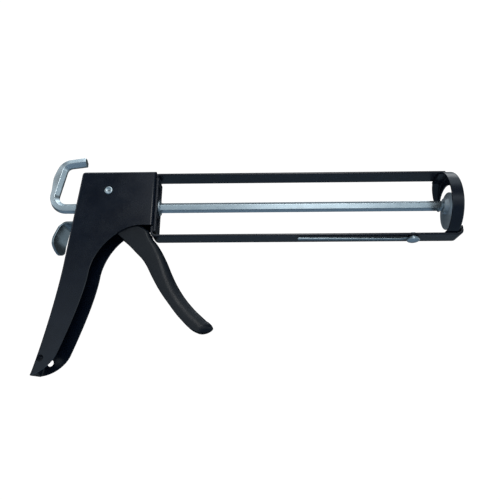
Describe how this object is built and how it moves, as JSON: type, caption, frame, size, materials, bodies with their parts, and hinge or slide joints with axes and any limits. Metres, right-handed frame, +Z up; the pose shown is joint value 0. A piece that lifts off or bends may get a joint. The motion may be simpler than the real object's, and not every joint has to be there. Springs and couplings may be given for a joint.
{
  "type": "caulking gun",
  "caption": "Skeleton-frame cartridge gun with a hexagonal push rod, piston disc, hooked rod end, pressed handle, squeeze trigger, thumb release and puncture wire.",
  "frame": {"origin": "middle of the whole gun's bounding box", "axes": "+X along the push rod towards the nozzle end, +Y across the gun towards the collar's open side, +Z up, with the handle below"},
  "size_m": [0.342, 0.0552, 0.1848],
  "materials": {
    "black_paint": "semi-gloss blue-black paint on pressed steel",
    "trigger_paint": "satin black paint with slight mottling",
    "zinc": "bright zinc plate, slightly blue and mottled",
    "spring_steel": "plain drawn wire"
  },
  "bodies": {
    "frame": {"housing": "black_paint", "frame_rear_plate": "black_paint", "top_strap": "black_paint", "bottom_strap": "black_paint", "front_collar": "black_paint", "rod_bushing": "zinc", "trigger_rivet": "zinc", "trigger_spacer": "zinc", "release_bracket": "zinc", "puncture_rivet": "zinc", "drive_spring": "spring_steel", "release_spring": "spring_steel"},
    "rod": {"plunger_rod": "zinc", "piston_keeper": "zinc"},
    "piston": {"piston_disc": "zinc"},
    "trigger": {"trigger": "trigger_paint"},
    "drive": {"drive_plate_rear": "zinc", "drive_plate_front": "zinc"},
    "release": {"release_lever": "zinc"},
    "puncture": {"puncture_wire": "zinc"}
  },
  "joints": [
    {"name": "rod_slide", "type": "slide", "parent": "frame", "child": "rod", "axis": [1, 0, 0], "range_m": [-0.226, 0]},
    {"name": "piston_spin", "type": "hinge", "parent": "rod", "child": "piston", "pos_m": [0.16079, 0.00027, 0.04453], "axis": [1, 0, 0], "continuous": true},
    {"name": "trigger_pivot", "type": "hinge", "parent": "frame", "child": "trigger", "pos_m": [-0.11791, 0.00027, 0.05663], "axis": [0, 1, 0], "range_deg": [0, 28], "stiffness_Nm_per_rad": 1.2, "springref_deg": -14.32},
    {"name": "drive_slide", "type": "slide", "parent": "frame", "child": "drive", "axis": [1, 0, 0], "range_m": [0, 0.0058], "deforming": ["drive_spring"]},
    {"name": "release_pivot", "type": "hinge", "parent": "frame", "child": "release", "pos_m": [-0.13351, 0.00027, 0.06113], "axis": [0, 1, 0], "range_deg": [-5, 0], "stiffness_Nm_per_rad": 0.4, "springref_deg": 11.46, "deforming": ["release_spring"]},
    {"name": "puncture_swing", "type": "hinge", "parent": "frame", "child": "puncture", "pos_m": [0.13159, -0.00273, 0.01453], "axis": [0, 0, 1], "continuous": true}
  ],
  "couplings": [
    {"joint": "drive_slide", "follows": "trigger_pivot", "m_per_rad": 0.0115}
  ]
}
